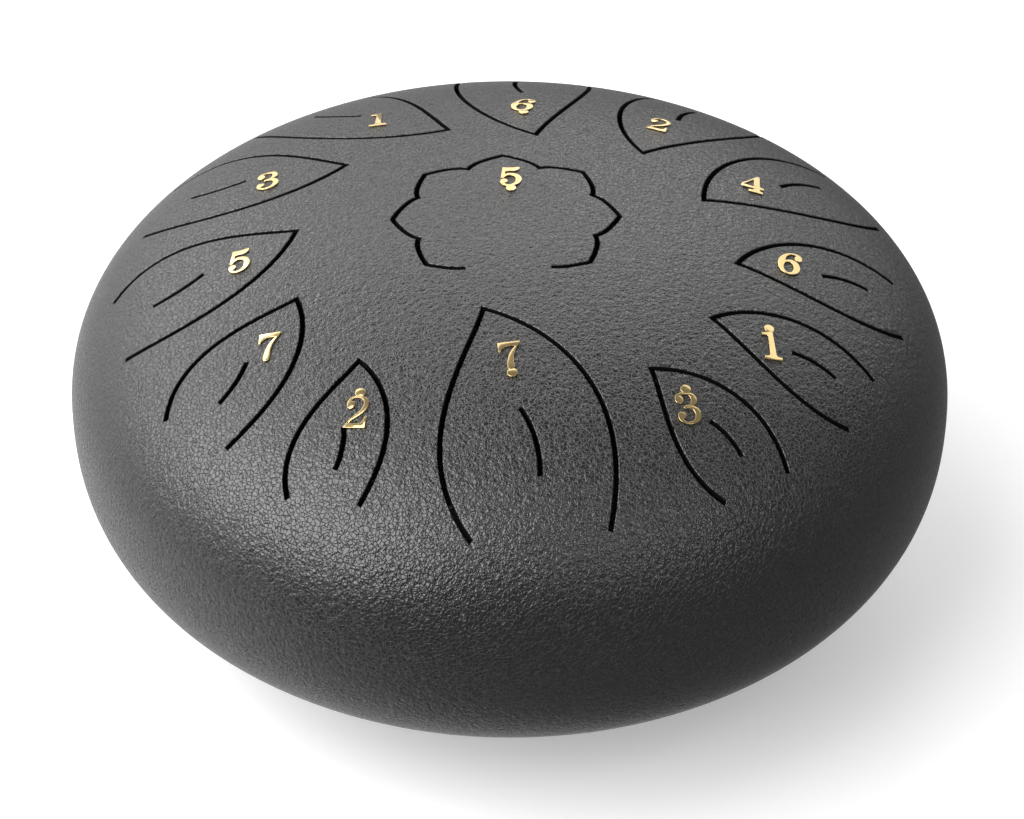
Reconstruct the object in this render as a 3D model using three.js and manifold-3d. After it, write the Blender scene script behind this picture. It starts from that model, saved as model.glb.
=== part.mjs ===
// A steel tongue drum: two pressed steel bowls welded at the waist, twelve leaf-shaped
// tongues and one lotus-shaped tongue slit into the top bowl, a stick-on brass numeral on
// each tongue, and three screwed rubber feet under the flat base.
// Units are millimetres. +Z is up, the feet stand on Z = 0 and the drum's axis is the Z axis.
// -Y is the player's side.

import * as THREE from 'three';
import { mergeVertices } from 'three/addons/utils/BufferGeometryUtils.js';
import Module from 'manifold-3d';

const wasm = await Module();
wasm.setup();

// ---------- driving dimensions ----------

const GAP = 0.3;                  // clearance between parts that touch
const SHEET = 2;                  // thickness of the steel sheet
const WAIST_RADIUS = 152.5;       // a drum 12 inches across
const TOP_RISE = 71;              // crown above the waist
const TOP_ROUNDNESS = 2.31;       // exponent of the top bowl's superellipse
const BOTTOM_DROP = 79.5;         // depth of the full lower superellipse, below its flat base
const BOTTOM_ROUNDNESS = 2.45;
const BASE_DROP = 73;             // waist down to the flat pressed base
const BASE_FLAT_RADIUS = 68;
const BASE_BEND_RADIUS = 88;      // where the bowl starts to turn into the base
const WELD_HEIGHT = 3;
const WELD_BEAD = 0.8;            // how far the weld stands in from the sheet's inside

const KERF = 1.7;                 // width of every laser-cut slit
const ROOT_RADIUS = 134;          // circle that the leaf tongues grow from
const LOTUS_TIP_RADIUS = 38.6;
const LOTUS_BELLY_RADIUS = 35.75; // control point of each half lobe
const LOTUS_BELLY_ANGLE = 16.9;
const LOTUS_NOTCH_RADIUS = 32.2;
const LOTUS_LOBES = 8;
const LOTUS_LAST_ARC = 0.8;       // share of the two front arcs that is cut
const LOTUS_SHIFT_X = -1.4;

const DIGIT_HEIGHT = 12.4;
const DIGIT_THICKNESS = 0.4;
const DIGIT_LIFT = 0.15;          // glue line under a numeral
const DOT_RADIUS = 1.8;
const DOT_DROP = 7.5;             // dot centre above or below the digit's centre

const FOOT_HEIGHT = 9;
const FOOT_RADIUS = 11;
const FOOT_TOP_RADIUS = 9.5;
const FOOT_CIRCLE = 56;
const FOOT_COUNT = 3;
const FOOT_RECESS_RADIUS = 4.5;
const FOOT_RECESS_DEPTH = 4;
const BOLT_RADIUS = 2;            // M4
const BOLT_HOLE_RADIUS = 2.3;
const BOLT_HEAD_RADIUS = 3.6;
const BOLT_HEAD_HEIGHT = 2.4;
const BOLT_SOCKET_RADIUS = 1.4;
const BOLT_SOCKET_DEPTH = 1.3;
const BOLT_END = 1;               // thread that shows above the nut
const WASHER_RADIUS = 4.5;
const WASHER_THICKNESS = 0.8;
const NUT_RADIUS = 4.04;          // across corners, for 7 mm across flats
const NUT_HEIGHT = 3.2;

const SOUND_HOLE_RADIUS = 30;

const AROUND = 60;                // facets round each bowl
const BOWL_STEPS = 10;            // facets from waist to crown
const LEAF_STEPS = 9;             // facets along each side of a leaf
const LOBE_STEPS = 3;
const PEN_STEPS = 7;              // facets along each pen stroke

const WAIST_Z = FOOT_HEIGHT + BASE_DROP;

// Each leaf tongue: its note, where its point lies (radius and azimuth), how much wider
// than the standard leaf it is, and how far it leans clockwise about its point.
const TONGUES = [
  { note: '7_low', radius: 52.3, azimuth: -101.3, width: 1.05, lean: -2.1 },
  { note: '3_high', radius: 88.3, azimuth: -60.3, width: 1.1, lean: 7.3 },
  { note: '1_high', radius: 82.8, azimuth: -37.9, width: 0.95, lean: 0.8 },
  { note: '6', radius: 78.7, azimuth: -15.3, width: 0.95, lean: -2 },
  { note: '4', radius: 68.6, azimuth: 12.4, width: 0.97, lean: -2.1 },
  { note: '2', radius: 64.8, azimuth: 42.6, width: 0.97, lean: -2.8 },
  { note: '6_low', radius: 55.7, azimuth: 79.1, width: 0.94, lean: 5.7 },
  { note: '1', radius: 63.4, azimuth: 108.3, width: 0.99, lean: -14.2 },
  { note: '3', radius: 68.6, azimuth: 144.5, width: 1.04, lean: -7.2 },
  { note: '5', radius: 72.7, azimuth: 179.5, width: 1.1, lean: 2.6 },
  { note: '7', radius: 81.1, azimuth: -152.7, width: 1.05, lean: -5.2 },
  { note: '2_high', radius: 87.2, azimuth: -126, width: 1, lean: -2.3 },
];

// Each numeral: its note, the centre of its digit, and how far it is turned anticlockwise
// from upright as the player reads it. low and high notes carry a dot below or above.
const NUMERALS = [
  { note: '5_low', x: 0.8, y: 23.3, turn: -1 },
  { note: '6_low', x: 6.9, y: 80.7, turn: -1 },
  { note: '2', x: 54.8, y: 69.7, turn: -16 },
  { note: '4', x: 85.1, y: 31.6, turn: -5 },
  { note: '6', x: 94.2, y: -15.3, turn: -2 },
  { note: '1_high', x: 84.6, y: -58.8, turn: 3 },
  { note: '3_high', x: 55, y: -90.9, turn: 4 },
  { note: '7_low', x: -2.1, y: -73.6, turn: 4 },
  { note: '2_high', x: -52, y: -91, turn: -10 },
  { note: '7', x: -81.1, y: -57.4, turn: -6 },
  { note: '5', x: -91.7, y: -10.8, turn: -2 },
  { note: '3', x: -83.2, y: 37.8, turn: -5 },
  { note: '1', x: -44.7, y: 74.5, turn: -3 },
];

// ---------- materials ----------

const coat = new THREE.MeshStandardMaterial({ color: 0x2e2e2e, roughness: 0.55, metalness: 0.3 });
const brass = new THREE.MeshStandardMaterial({ color: 0xd9bd7c, roughness: 0.3, metalness: 0.9 });
const rubber = new THREE.MeshStandardMaterial({ color: 0x141414, roughness: 0.85, metalness: 0 });
const zinc = new THREE.MeshStandardMaterial({ color: 0xb4b4b0, roughness: 0.35, metalness: 0.9 });

// ---------- helpers ----------

const radians = THREE.MathUtils.degToRad;
const vec = (x, y) => new THREE.Vector2(x, y);
const polar = (radius, degrees) => vec(radius * Math.cos(radians(degrees)), radius * Math.sin(radians(degrees)));

// A closed solid for cutting and joining, from a three.js geometry.
function solid(geometry) {
  geometry.deleteAttribute('normal');
  geometry.deleteAttribute('uv');
  const merged = mergeVertices(geometry, 1e-3);
  return new wasm.Manifold(new wasm.Mesh({
    numProp: 3,
    vertProperties: new Float32Array(merged.attributes.position.array),
    triVerts: new Uint32Array(merged.index.array),
  }));
}

function geometryOf(body) {
  const { vertProperties, triVerts } = body.getMesh();
  const geometry = new THREE.BufferGeometry();
  geometry.setAttribute('position', new THREE.BufferAttribute(vertProperties, 3));
  geometry.setIndex(new THREE.BufferAttribute(triVerts, 1));
  geometry.computeVertexNormals();
  return geometry;
}

// A profile of (radius, height) points, listed with the material on its left, turned
// round the Z axis.
function turned(profile, around = AROUND) {
  return new THREE.LatheGeometry(profile, around).rotateX(Math.PI / 2);
}

function extruded(shape, bottom, top) {
  const geometry = new THREE.ExtrudeGeometry(shape, { depth: top - bottom, bevelEnabled: false });
  return geometry.translate(0, 0, bottom);
}

// The outline of a band that follows a line, as wide as widthAt says from 0 to 1 along it.
function band(line, widthAt) {
  const last = line.length - 1;
  const side = (sign) => line.map((point, i) => {
    const before = line[Math.max(i - 1, 0)];
    const after = line[Math.min(i + 1, last)];
    const into = (i > 0 ? point.clone().sub(before) : after.clone().sub(point)).normalize();
    const out = (i < last ? after.clone().sub(point) : point.clone().sub(before)).normalize();
    const along = into.clone().add(out).normalize();
    const mitre = (sign * widthAt(i / last)) / 2 / along.dot(out);
    return vec(point.x - along.y * mitre, point.y + along.x * mitre);
  });
  return new THREE.Shape([...side(-1), ...side(1).reverse()]);
}

// ---------- the bowls ----------

// Points of a superellipse bowl from the height `edge` above the waist to its pole.
function bowlCurve(radius, rise, roundness, edge) {
  const first = Math.asin((edge / rise) ** (roundness / 2));
  return Array.from({ length: BOWL_STEPS + 1 }, (_, i) => {
    const angle = THREE.MathUtils.lerp(first, Math.PI / 2, i / BOWL_STEPS);
    const across = i === BOWL_STEPS ? 0 : radius * Math.cos(angle) ** (2 / roundness);
    return vec(across, rise * Math.sin(angle) ** (2 / roundness));
  });
}

const topHeightAt = (radius) =>
  WAIST_Z + TOP_RISE * (1 - (radius / WAIST_RADIUS) ** TOP_ROUNDNESS) ** (1 / TOP_ROUNDNESS);

const sheetEdge = WELD_HEIGHT / 2 + GAP;

function topBowl() {
  const outside = bowlCurve(WAIST_RADIUS, TOP_RISE, TOP_ROUNDNESS, sheetEdge);
  const inside = bowlCurve(WAIST_RADIUS - SHEET, TOP_RISE - SHEET, TOP_ROUNDNESS, sheetEdge);
  const profile = [...inside.reverse(), ...outside];
  return solid(turned(profile)).translate([0, 0, WAIST_Z]);
}

// The lower bowl's wall, mirrored upwards, ends in a bend into the flat base.
function lowerCurve(inset) {
  const drop = BOTTOM_DROP - inset;
  const base = BASE_DROP - inset;
  const wall = bowlCurve(WAIST_RADIUS - inset, drop, BOTTOM_ROUNDNESS, sheetEdge);
  const kept = wall.filter((point) => point.x > BASE_BEND_RADIUS);
  const last = kept[kept.length - 1];
  const before = kept[kept.length - 2];
  const slope = (last.y - before.y) / (last.x - before.x);
  const corner = vec(last.x + (base - last.y) / slope, base);
  const bend = new THREE.QuadraticBezierCurve(last, corner, vec(BASE_FLAT_RADIUS, base));
  return [...kept, ...bend.getPoints(3).slice(1), vec(SOUND_HOLE_RADIUS, base)];
}

function bottomBowl() {
  const down = (points) => points.map((point) => vec(point.x, -point.y));
  const outside = down(lowerCurve(0)).reverse();
  const profile = [...outside, ...down(lowerCurve(SHEET)), outside[0]];
  return solid(turned(profile)).translate([0, 0, WAIST_Z]);
}

function weldRing() {
  const half = WELD_HEIGHT / 2;
  const inside = WAIST_RADIUS - SHEET;
  const profile = [
    vec(inside, half), vec(inside - WELD_BEAD, 0), vec(inside, -half),
    vec(WAIST_RADIUS, -half), vec(WAIST_RADIUS, half), vec(inside, half),
  ];
  return turned(profile).translate(0, 0, WAIST_Z);
}

// ---------- the slits ----------

// The standard leaf, one unit long: x across, y from its point out to its root.
const leafLeft = new THREE.CubicBezierCurve(
  vec(0, 0), vec(0.337, 0.09), vec(0.637, 0.432), vec(0.594, 0.904));
const leafRight = new THREE.CubicBezierCurve(
  vec(0, 0), vec(-0.021, 0.29), vec(-0.207, 0.778), vec(0.09, 1.029));
const leafVein = new THREE.QuadraticBezierCurve(
  vec(0.205, 0.5), vec(0.3, 0.625), vec(0.315, 0.775));

// Places points of the standard leaf on the drum, for one tongue.
function placed(points, { radius, azimuth, width, lean }) {
  const length = ROOT_RADIUS - radius;
  return points.map((point) => {
    const local = vec(point.x * length * width, point.y * length).rotateAround(vec(0, 0), radians(lean));
    return vec(radius + local.y, local.x).rotateAround(vec(0, 0), radians(azimuth));
  });
}

const slit = (line) => solid(extruded(band(line, () => KERF), WAIST_Z, WAIST_Z + TOP_RISE + SHEET));

function leafSlits(tongue) {
  const outline = [...leafLeft.getPoints(LEAF_STEPS).reverse(), ...leafRight.getPoints(LEAF_STEPS).slice(1)];
  const vein = leafVein.getPoints(3);
  return [slit(placed(outline, tongue)), slit(placed(vein, tongue))];
}

// The lotus tongue's outline runs anticlockwise from its right front arc to its left one.
function lotusSlit() {
  const pitch = 360 / LOTUS_LOBES;
  const line = [];
  for (let lobe = 1; lobe < LOTUS_LOBES; lobe += 1) {
    const middle = -90 + lobe * pitch;
    const tip = polar(LOTUS_TIP_RADIUS, middle);
    const half = (side) => new THREE.QuadraticBezierCurve(
      polar(LOTUS_NOTCH_RADIUS, middle + (side * pitch) / 2),
      polar(LOTUS_BELLY_RADIUS, middle + side * LOTUS_BELLY_ANGLE),
      tip);
    const share = (last) => Array.from({ length: LOBE_STEPS + 1 }, (_, i) =>
      1 - (last ? LOTUS_LAST_ARC : 1) * (1 - i / LOBE_STEPS));
    const rising = share(lobe === 1).map((t) => half(-1).getPoint(t));
    const falling = share(lobe === LOTUS_LOBES - 1).map((t) => half(1).getPoint(t)).reverse();
    line.push(...rising.slice(lobe === 1 ? 0 : 1), ...falling.slice(1));
  }
  return slit(line.map((point) => point.add(vec(LOTUS_SHIFT_X, 0))));
}

// ---------- the numerals, drawn with a broad pen one unit high ----------

// A stroke along a curve through `points`; widths are at its start, middle and end.
function stroke(points, [start, middle, end]) {
  const line = new THREE.SplineCurve(points.map(([x, y]) => vec(x, y))).getPoints(PEN_STEPS);
  const widthAt = (t) => 2 * (t - 0.5) * (t - 1) * start + 4 * t * (1 - t) * middle + 2 * t * (t - 0.5) * end;
  return band(line, widthAt);
}

const plate = (...corners) => new THREE.Shape(corners.map(([x, y]) => vec(x, y)));

function ball(x, y, radius) {
  const points = Array.from({ length: 10 }, (_, i) => polar(radius, i * 36).add(vec(x, y)));
  return new THREE.Shape(points);
}

const DIGITS = {
  1: () => [
    plate([-0.085, -0.48], [0.085, -0.48], [0.085, 0.5], [-0.03, 0.48], [-0.085, 0.45]),
    plate([-0.25, -0.5], [0.25, -0.5], [0.25, -0.44], [-0.25, -0.44]),
    plate([-0.24, 0.37], [0, 0.39], [0, 0.47], [-0.24, 0.43]),
  ],
  2: () => [
    ball(-0.19, 0.22, 0.095),
    stroke([[-0.26, 0.24], [-0.16, 0.44], [0.08, 0.45], [0.2, 0.22], [0.08, -0.08]], [0.05, 0.12, 0.15]),
    stroke([[0.1, -0.04], [-0.08, -0.26], [-0.28, -0.46]], [0.14, 0.08, 0.05]),
    plate([-0.31, -0.5], [0.25, -0.5], [0.31, -0.22], [0.24, -0.22], [0.17, -0.35], [-0.22, -0.37]),
  ],
  3: () => [
    ball(-0.2, 0.26, 0.09),
    stroke([[-0.27, 0.3], [-0.08, 0.46], [0.16, 0.3], [0.1, 0.08], [-0.07, 0.03]], [0.05, 0.16, 0.05]),
    stroke([[-0.07, 0.03], [0.14, 0.01], [0.24, -0.2], [0.1, -0.44], [-0.22, -0.4]], [0.05, 0.18, 0.05]),
    ball(-0.2, -0.31, 0.1),
  ],
  4: () => [
    plate([0.02, -0.47], [0.19, -0.47], [0.19, 0.5], [0.02, 0.48]),
    plate([-0.34, -0.22], [0.33, -0.22], [0.33, -0.14], [-0.34, -0.14]),
    plate([-0.34, -0.2], [-0.24, -0.16], [0.1, 0.32], [0.1, 0.49]),
    plate([-0.09, -0.5], [0.3, -0.5], [0.3, -0.44], [-0.09, -0.44]),
  ],
  5: () => [
    stroke([[-0.19, 0.43], [0.06, 0.42], [0.28, 0.49]], [0.12, 0.14, 0.04]),
    plate([-0.25, 0.02], [-0.2, 0.02], [-0.13, 0.47], [-0.18, 0.47]),
    stroke([[-0.23, 0.03], [-0.02, 0.12], [0.2, 0.02], [0.21, -0.26], [0.02, -0.45], [-0.24, -0.38]],
      [0.05, 0.18, 0.05]),
    ball(-0.2, -0.31, 0.1),
  ],
  6: () => [
    ball(0.2, 0.34, 0.085),
    stroke([[0.24, 0.42], [-0.04, 0.42], [-0.22, 0.12], [-0.22, -0.2], [0, -0.46]], [0.05, 0.17, 0.07]),
    stroke([[-0.02, -0.46], [0.18, -0.36], [0.22, -0.14], [0.08, 0.08], [-0.12, 0.04], [-0.2, -0.06]],
      [0.07, 0.16, 0.05]),
  ],
  7: () => [
    plate([-0.3, 0.12], [-0.21, 0.12], [-0.16, 0.33], [0.24, 0.37], [0.3, 0.5], [-0.3, 0.48]),
    stroke([[0.26, 0.48], [0.06, 0.12], [-0.02, -0.14], [-0.01, -0.42]], [0.06, 0.14, 0.2]),
    ball(-0.01, -0.4, 0.1),
  ],
};

function numeralGeometry(note) {
  const [digit, octave] = note.split('_');
  const scaled = (shape) => solid(extruded(shape, 0, 1)).scale([DIGIT_HEIGHT, DIGIT_HEIGHT, DIGIT_THICKNESS]);
  let body = DIGITS[digit]().map(scaled).reduce((sum, part) => sum.add(part));
  if (octave) {
    const side = octave === 'high' ? 1 : -1;
    const dot = new THREE.CylinderGeometry(DOT_RADIUS, DOT_RADIUS, DIGIT_THICKNESS, 14).rotateX(Math.PI / 2);
    body = body.add(solid(dot.translate(0, side * DOT_DROP, DIGIT_THICKNESS / 2)));
  }
  return geometryOf(body);
}

// Lays a numeral on the top bowl, flat against the steel under its centre.
function layOnDrum(mesh, { x, y, turn }) {
  const radius = Math.hypot(x, y);
  const step = 0.5;
  const slope = (topHeightAt(radius + step) - topHeightAt(radius - step)) / (2 * step);
  const normal = new THREE.Vector3((-slope * x) / radius, (-slope * y) / radius, 1).normalize();
  const reading = new THREE.Vector3(Math.cos(radians(turn)), Math.sin(radians(turn)), 0);
  const up = new THREE.Vector3().crossVectors(normal, reading).normalize();
  const right = new THREE.Vector3().crossVectors(up, normal);
  mesh.quaternion.setFromRotationMatrix(new THREE.Matrix4().makeBasis(right, up, normal));
  mesh.position.set(x, y, topHeightAt(radius)).addScaledVector(normal, DIGIT_LIFT);
}

// ---------- the feet and their fasteners, each standing on its own axis ----------

const pillar = (radius, bottom, top, around) =>
  new THREE.CylinderGeometry(radius, radius, top - bottom, around)
    .rotateX(Math.PI / 2).translate(0, 0, (top + bottom) / 2);

function tubeProfile(inner, outer, bottom, top) {
  return [vec(inner, top), vec(inner, bottom), vec(outer, bottom), vec(outer, top), vec(inner, top)];
}

function footGeometry() {
  const top = FOOT_HEIGHT - GAP;
  return turned([
    vec(BOLT_HOLE_RADIUS, top), vec(BOLT_HOLE_RADIUS, FOOT_RECESS_DEPTH),
    vec(FOOT_RECESS_RADIUS, FOOT_RECESS_DEPTH), vec(FOOT_RECESS_RADIUS, 0),
    vec(FOOT_RADIUS - 1, 0), vec(FOOT_RADIUS, 1), vec(FOOT_TOP_RADIUS, top), vec(BOLT_HOLE_RADIUS, top),
  ], 20);
}

const washerBottom = FOOT_HEIGHT + SHEET + GAP;
const nutBottom = washerBottom + WASHER_THICKNESS + GAP;
const boltTop = nutBottom + NUT_HEIGHT + BOLT_END;

function boltGeometry() {
  const headTop = FOOT_RECESS_DEPTH - GAP;
  const headBottom = headTop - BOLT_HEAD_HEIGHT;
  const blank = solid(turned([
    vec(0, headBottom), vec(BOLT_HEAD_RADIUS - 0.5, headBottom), vec(BOLT_HEAD_RADIUS, headBottom + 0.5),
    vec(BOLT_HEAD_RADIUS, headTop), vec(BOLT_RADIUS, headTop), vec(BOLT_RADIUS, boltTop - 0.4),
    vec(BOLT_RADIUS - 0.4, boltTop), vec(0, boltTop),
  ], 16));
  const socket = solid(pillar(BOLT_SOCKET_RADIUS, headBottom - 1, headBottom + BOLT_SOCKET_DEPTH, 6));
  return geometryOf(blank.subtract(socket));
}

const washerGeometry = () =>
  turned(tubeProfile(BOLT_HOLE_RADIUS, WASHER_RADIUS, washerBottom, washerBottom + WASHER_THICKNESS), 20);

function nutGeometry() {
  const block = solid(pillar(NUT_RADIUS, nutBottom, nutBottom + NUT_HEIGHT, 6));
  const bore = solid(pillar(BOLT_HOLE_RADIUS, nutBottom - 1, nutBottom + NUT_HEIGHT + 1, 16));
  return geometryOf(block.subtract(bore));
}

const footPlace = (i) => polar(FOOT_CIRCLE, -90 + (i * 360) / FOOT_COUNT);

// ---------- holes in the base ----------

function boltHole(i) {
  const { x, y } = footPlace(i);
  return solid(pillar(BOLT_HOLE_RADIUS, FOOT_HEIGHT - SHEET, FOOT_HEIGHT + 2 * SHEET, 16).translate(x, y, 0));
}

const numbered = (count, make) => Array.from({ length: count }, (_, i) => make(i));
const cut = (body, cutters) => cutters.reduce((rest, cutter) => rest.subtract(cutter), body);

// ---------- assembly ----------

const drum = new THREE.Group();

function add(name, geometry, material, parent = drum) {
  const mesh = new THREE.Mesh(geometry, material);
  mesh.name = name;
  parent.add(mesh);
  return mesh;
}

add('top_shell', geometryOf(cut(topBowl(), [...TONGUES.flatMap(leafSlits), lotusSlit()])), coat);
add('bottom_shell', geometryOf(cut(bottomBowl(), numbered(FOOT_COUNT, boltHole))), coat);
add('waist_weld', weldRing(), coat);

for (const numeral of NUMERALS) {
  layOnDrum(add(`numeral_${numeral.note}`, numeralGeometry(numeral.note), brass), numeral);
}

for (let i = 0; i < FOOT_COUNT; i += 1) {
  const corner = new THREE.Group();
  const place = footPlace(i);
  corner.position.set(place.x, place.y, 0);
  drum.add(corner);
  add(`foot_${i + 1}`, footGeometry(), rubber, corner);
  add(`foot_bolt_${i + 1}`, boltGeometry(), zinc, corner);
  add(`foot_washer_${i + 1}`, washerGeometry(), zinc, corner);
  add(`foot_nut_${i + 1}`, nutGeometry(), zinc, corner);
}

export default drum;
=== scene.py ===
# %% [markdown]
# # A steel tongue drum
# Two steel bowls are pressed, slit and welded together at the waist. A wrinkle powder coat covers
# them, a small brass numeral is stuck on every tongue, and the drum stands on three rubber feet.
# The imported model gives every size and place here. It is loaded first and stays as it is.

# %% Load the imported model
import math

import bmesh
import bpy
from mathutils import Matrix, Quaternion, Vector


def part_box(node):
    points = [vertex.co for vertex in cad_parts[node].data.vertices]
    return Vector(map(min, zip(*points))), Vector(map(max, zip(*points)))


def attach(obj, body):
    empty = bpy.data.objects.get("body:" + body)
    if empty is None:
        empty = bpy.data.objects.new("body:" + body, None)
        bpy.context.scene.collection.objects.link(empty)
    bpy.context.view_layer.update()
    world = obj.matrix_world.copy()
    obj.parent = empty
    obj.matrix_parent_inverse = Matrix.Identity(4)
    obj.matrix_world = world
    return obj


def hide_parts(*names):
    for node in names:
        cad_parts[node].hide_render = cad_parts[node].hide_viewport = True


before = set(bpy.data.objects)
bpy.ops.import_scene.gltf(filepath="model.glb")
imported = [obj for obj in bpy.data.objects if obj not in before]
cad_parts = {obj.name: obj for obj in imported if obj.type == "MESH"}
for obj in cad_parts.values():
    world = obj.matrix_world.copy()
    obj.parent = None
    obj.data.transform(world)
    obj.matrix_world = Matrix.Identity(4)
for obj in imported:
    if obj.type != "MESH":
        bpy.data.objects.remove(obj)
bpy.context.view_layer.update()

# %% Driving sizes, read from the model
MM = 0.001
TURN = 2 * math.pi
top_low, top_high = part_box("top_shell")
weld_low, weld_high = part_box("waist_weld")
bowl_low, bowl_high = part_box("bottom_shell")
WAIST_RADIUS = (top_high.x - top_low.x) / 2
WAIST_Z = (weld_low.z + weld_high.z) / 2
TOP_RISE = top_high.z - WAIST_Z
BASE_Z = bowl_low.z
WELD_HALF = (weld_high.z - weld_low.z) / 2
SHEET = 2 * MM
TOP_ROUNDNESS = 2.31
BOTTOM_ROUNDNESS = 2.45
BOTTOM_DROP = 79.5 * MM
print("waist radius", round(WAIST_RADIUS, 4), "height", round(WAIST_Z, 4))
print("rise of the top bowl", round(TOP_RISE, 4))

# %% [markdown]
# ## Camera
# The camera comes first, so that every later choice can be judged through it. A long lens from
# well back keeps the drum's far and near edges close in scale.

# %% Camera
VIEW_DISTANCE = 1.3725
VIEW_ELEVATION = math.radians(36.33)
VIEW_TURN = math.radians(-1.72)
AIM_BELOW = 9.36 * MM
AIM_RIGHT = 0.79 * MM
VIEW_ROLL = math.radians(0.24)
SENSOR_WIDTH = 36
LENS = 137.87


def make_camera():
    back = Vector((
        math.sin(VIEW_TURN) * math.cos(VIEW_ELEVATION),
        -math.cos(VIEW_TURN) * math.cos(VIEW_ELEVATION),
        math.sin(VIEW_ELEVATION)))
    level = Vector((math.cos(VIEW_TURN), math.sin(VIEW_TURN), 0))
    right = Matrix.Rotation(VIEW_ROLL, 3, back) @ level
    up = back.cross(right)
    waist = Vector((0, 0, WAIST_Z))
    camera = bpy.data.objects.new("camera", bpy.data.cameras.new("camera"))
    camera.data.sensor_width = SENSOR_WIDTH
    camera.data.lens = LENS
    camera.location = waist + back * VIEW_DISTANCE
    target = waist - up * AIM_BELOW + right * AIM_RIGHT
    aim = (target - camera.location).to_track_quat("-Z", "Y")
    camera.rotation_euler = (aim @ Quaternion((0, 0, 1), VIEW_ROLL)).to_euler()
    bpy.context.collection.objects.link(camera)
    bpy.context.scene.camera = camera
    return camera


camera = make_camera()
print("camera at", [round(v, 3) for v in camera.location])

# %% [markdown]
# ## Materials
# Each finish is a small node tree on Object coordinates, so its grain has a real size in metres
# and runs on from one piece to the next without a seam.

# %% Helpers for node materials


def new_material(name, roughness, metallic=0.0):
    """A Principled material and its node tree."""
    material = bpy.data.materials.new(name)
    material.use_nodes = True
    shader = material.node_tree.nodes["Principled BSDF"]
    shader.inputs["Roughness"].default_value = roughness
    shader.inputs["Metallic"].default_value = metallic
    return material, material.node_tree, shader


def node(tree, kind, **settings):
    """A new node, with its properties and unlinked inputs set."""
    made = tree.nodes.new(kind)
    for key, value in settings.items():
        if key in made.inputs:
            made.inputs[key].default_value = value
        else:
            setattr(made, key, value)
    return made


def ramp(tree, source, stops):
    """A colour ramp with the given (position, grey or colour) stops, fed by source."""
    made = node(tree, "ShaderNodeValToRGB")
    elements = made.color_ramp.elements
    while len(elements) < len(stops):
        elements.new(0.5)
    for element, (position, value) in zip(elements, stops):
        element.position = position
        element.color = (*value, 1) if isinstance(value, tuple) else (value, value, value, 1)
    tree.links.new(source, made.inputs["Fac"])
    return made.outputs["Color"]


def noise(tree, where, scale, detail=2.0):
    made = node(tree, "ShaderNodeTexNoise", Scale=scale, Detail=detail)
    tree.links.new(where, made.inputs["Vector"])
    return made.outputs["Fac"]


def arithmetic(tree, operation, *sides):
    """One Math node; each side is a socket or a number."""
    made = node(tree, "ShaderNodeMath", operation=operation)
    for index, side in enumerate(sides):
        if isinstance(side, (int, float)):
            made.inputs[index].default_value = side
        else:
            tree.links.new(side, made.inputs[index])
    return made.outputs["Value"]


def bump(tree, shader, height, distance):
    made = node(tree, "ShaderNodeBump", Strength=1.0, Distance=distance)
    tree.links.new(height, made.inputs["Height"])
    tree.links.new(made.outputs["Normal"], shader.inputs["Normal"])


def object_place(tree):
    return node(tree, "ShaderNodeTexCoord").outputs["Object"]


# %% [markdown]
# ### Wrinkle powder coat
# The coat shrinks as it is baked, so it closes into small smooth cells with fine creases between
# them, like leather. A Voronoi pattern gives the creases as the distance to the cell edge. Its
# coordinates are first pushed about by noise, so that no cell is a straight-sided polygon.

# %% Wrinkle coat
CELL = 1.45 * MM
COAT_DEPTH = 0.17 * MM
SPECKLE_SHARE = 0.9
SWELL_SHARE = 3.0


def wrinkle_coat():
    material, tree, shader = new_material("wrinkle_coat", roughness=0.2)
    shader.inputs["Specular IOR Level"].default_value = 1.0
    place = object_place(tree)
    push = node(tree, "ShaderNodeTexNoise", Scale=0.9 / CELL, Detail=2.0)
    tree.links.new(place, push.inputs["Vector"])
    shift = node(tree, "ShaderNodeVectorMath", operation="MULTIPLY_ADD")
    tree.links.new(push.outputs["Color"], shift.inputs[0])
    shift.inputs[1].default_value = (1.1 * CELL,) * 3
    tree.links.new(place, shift.inputs[2])
    cells = node(tree, "ShaderNodeTexVoronoi", feature="DISTANCE_TO_EDGE", Scale=1 / CELL)
    tree.links.new(shift.outputs["Vector"], cells.inputs["Vector"])
    creases = ramp(tree, cells.outputs["Distance"], [(0.0, 0.0), (0.06, 0.75), (0.2, 1.0)])
    fine = noise(tree, place, scale=2.6 / CELL, detail=2.0)
    swell = noise(tree, place, scale=0.85 / CELL, detail=1.0)
    height = arithmetic(tree, "MULTIPLY_ADD", fine, SPECKLE_SHARE, creases)
    height = arithmetic(tree, "MULTIPLY_ADD", swell, SWELL_SHARE, height)
    bump(tree, shader, height, COAT_DEPTH)
    # The creases are tinted darker than the cells, nearly black: this is painted shade in the
    # creases.
    tint = ramp(tree, creases, [(0.0, (0.001, 0.001, 0.001)), (0.8, (0.0065, 0.006, 0.0057))])
    tree.links.new(tint, shader.inputs["Base Color"])
    gloss = ramp(tree, creases, [(0.0, 0.55), (0.7, 0.17)])
    tree.links.new(gloss, shader.inputs["Roughness"])
    return material


coat = wrinkle_coat()
print("coat cells are", CELL / MM, "mm across")

# %% [markdown]
# ### Brass, rubber and zinc
# The numerals are pale gold plate with a faint brushed grain. The feet are moulded rubber with a
# dusty bloom, and the screws are zinc plated, which clouds in patches.

# %% Brass


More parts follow.
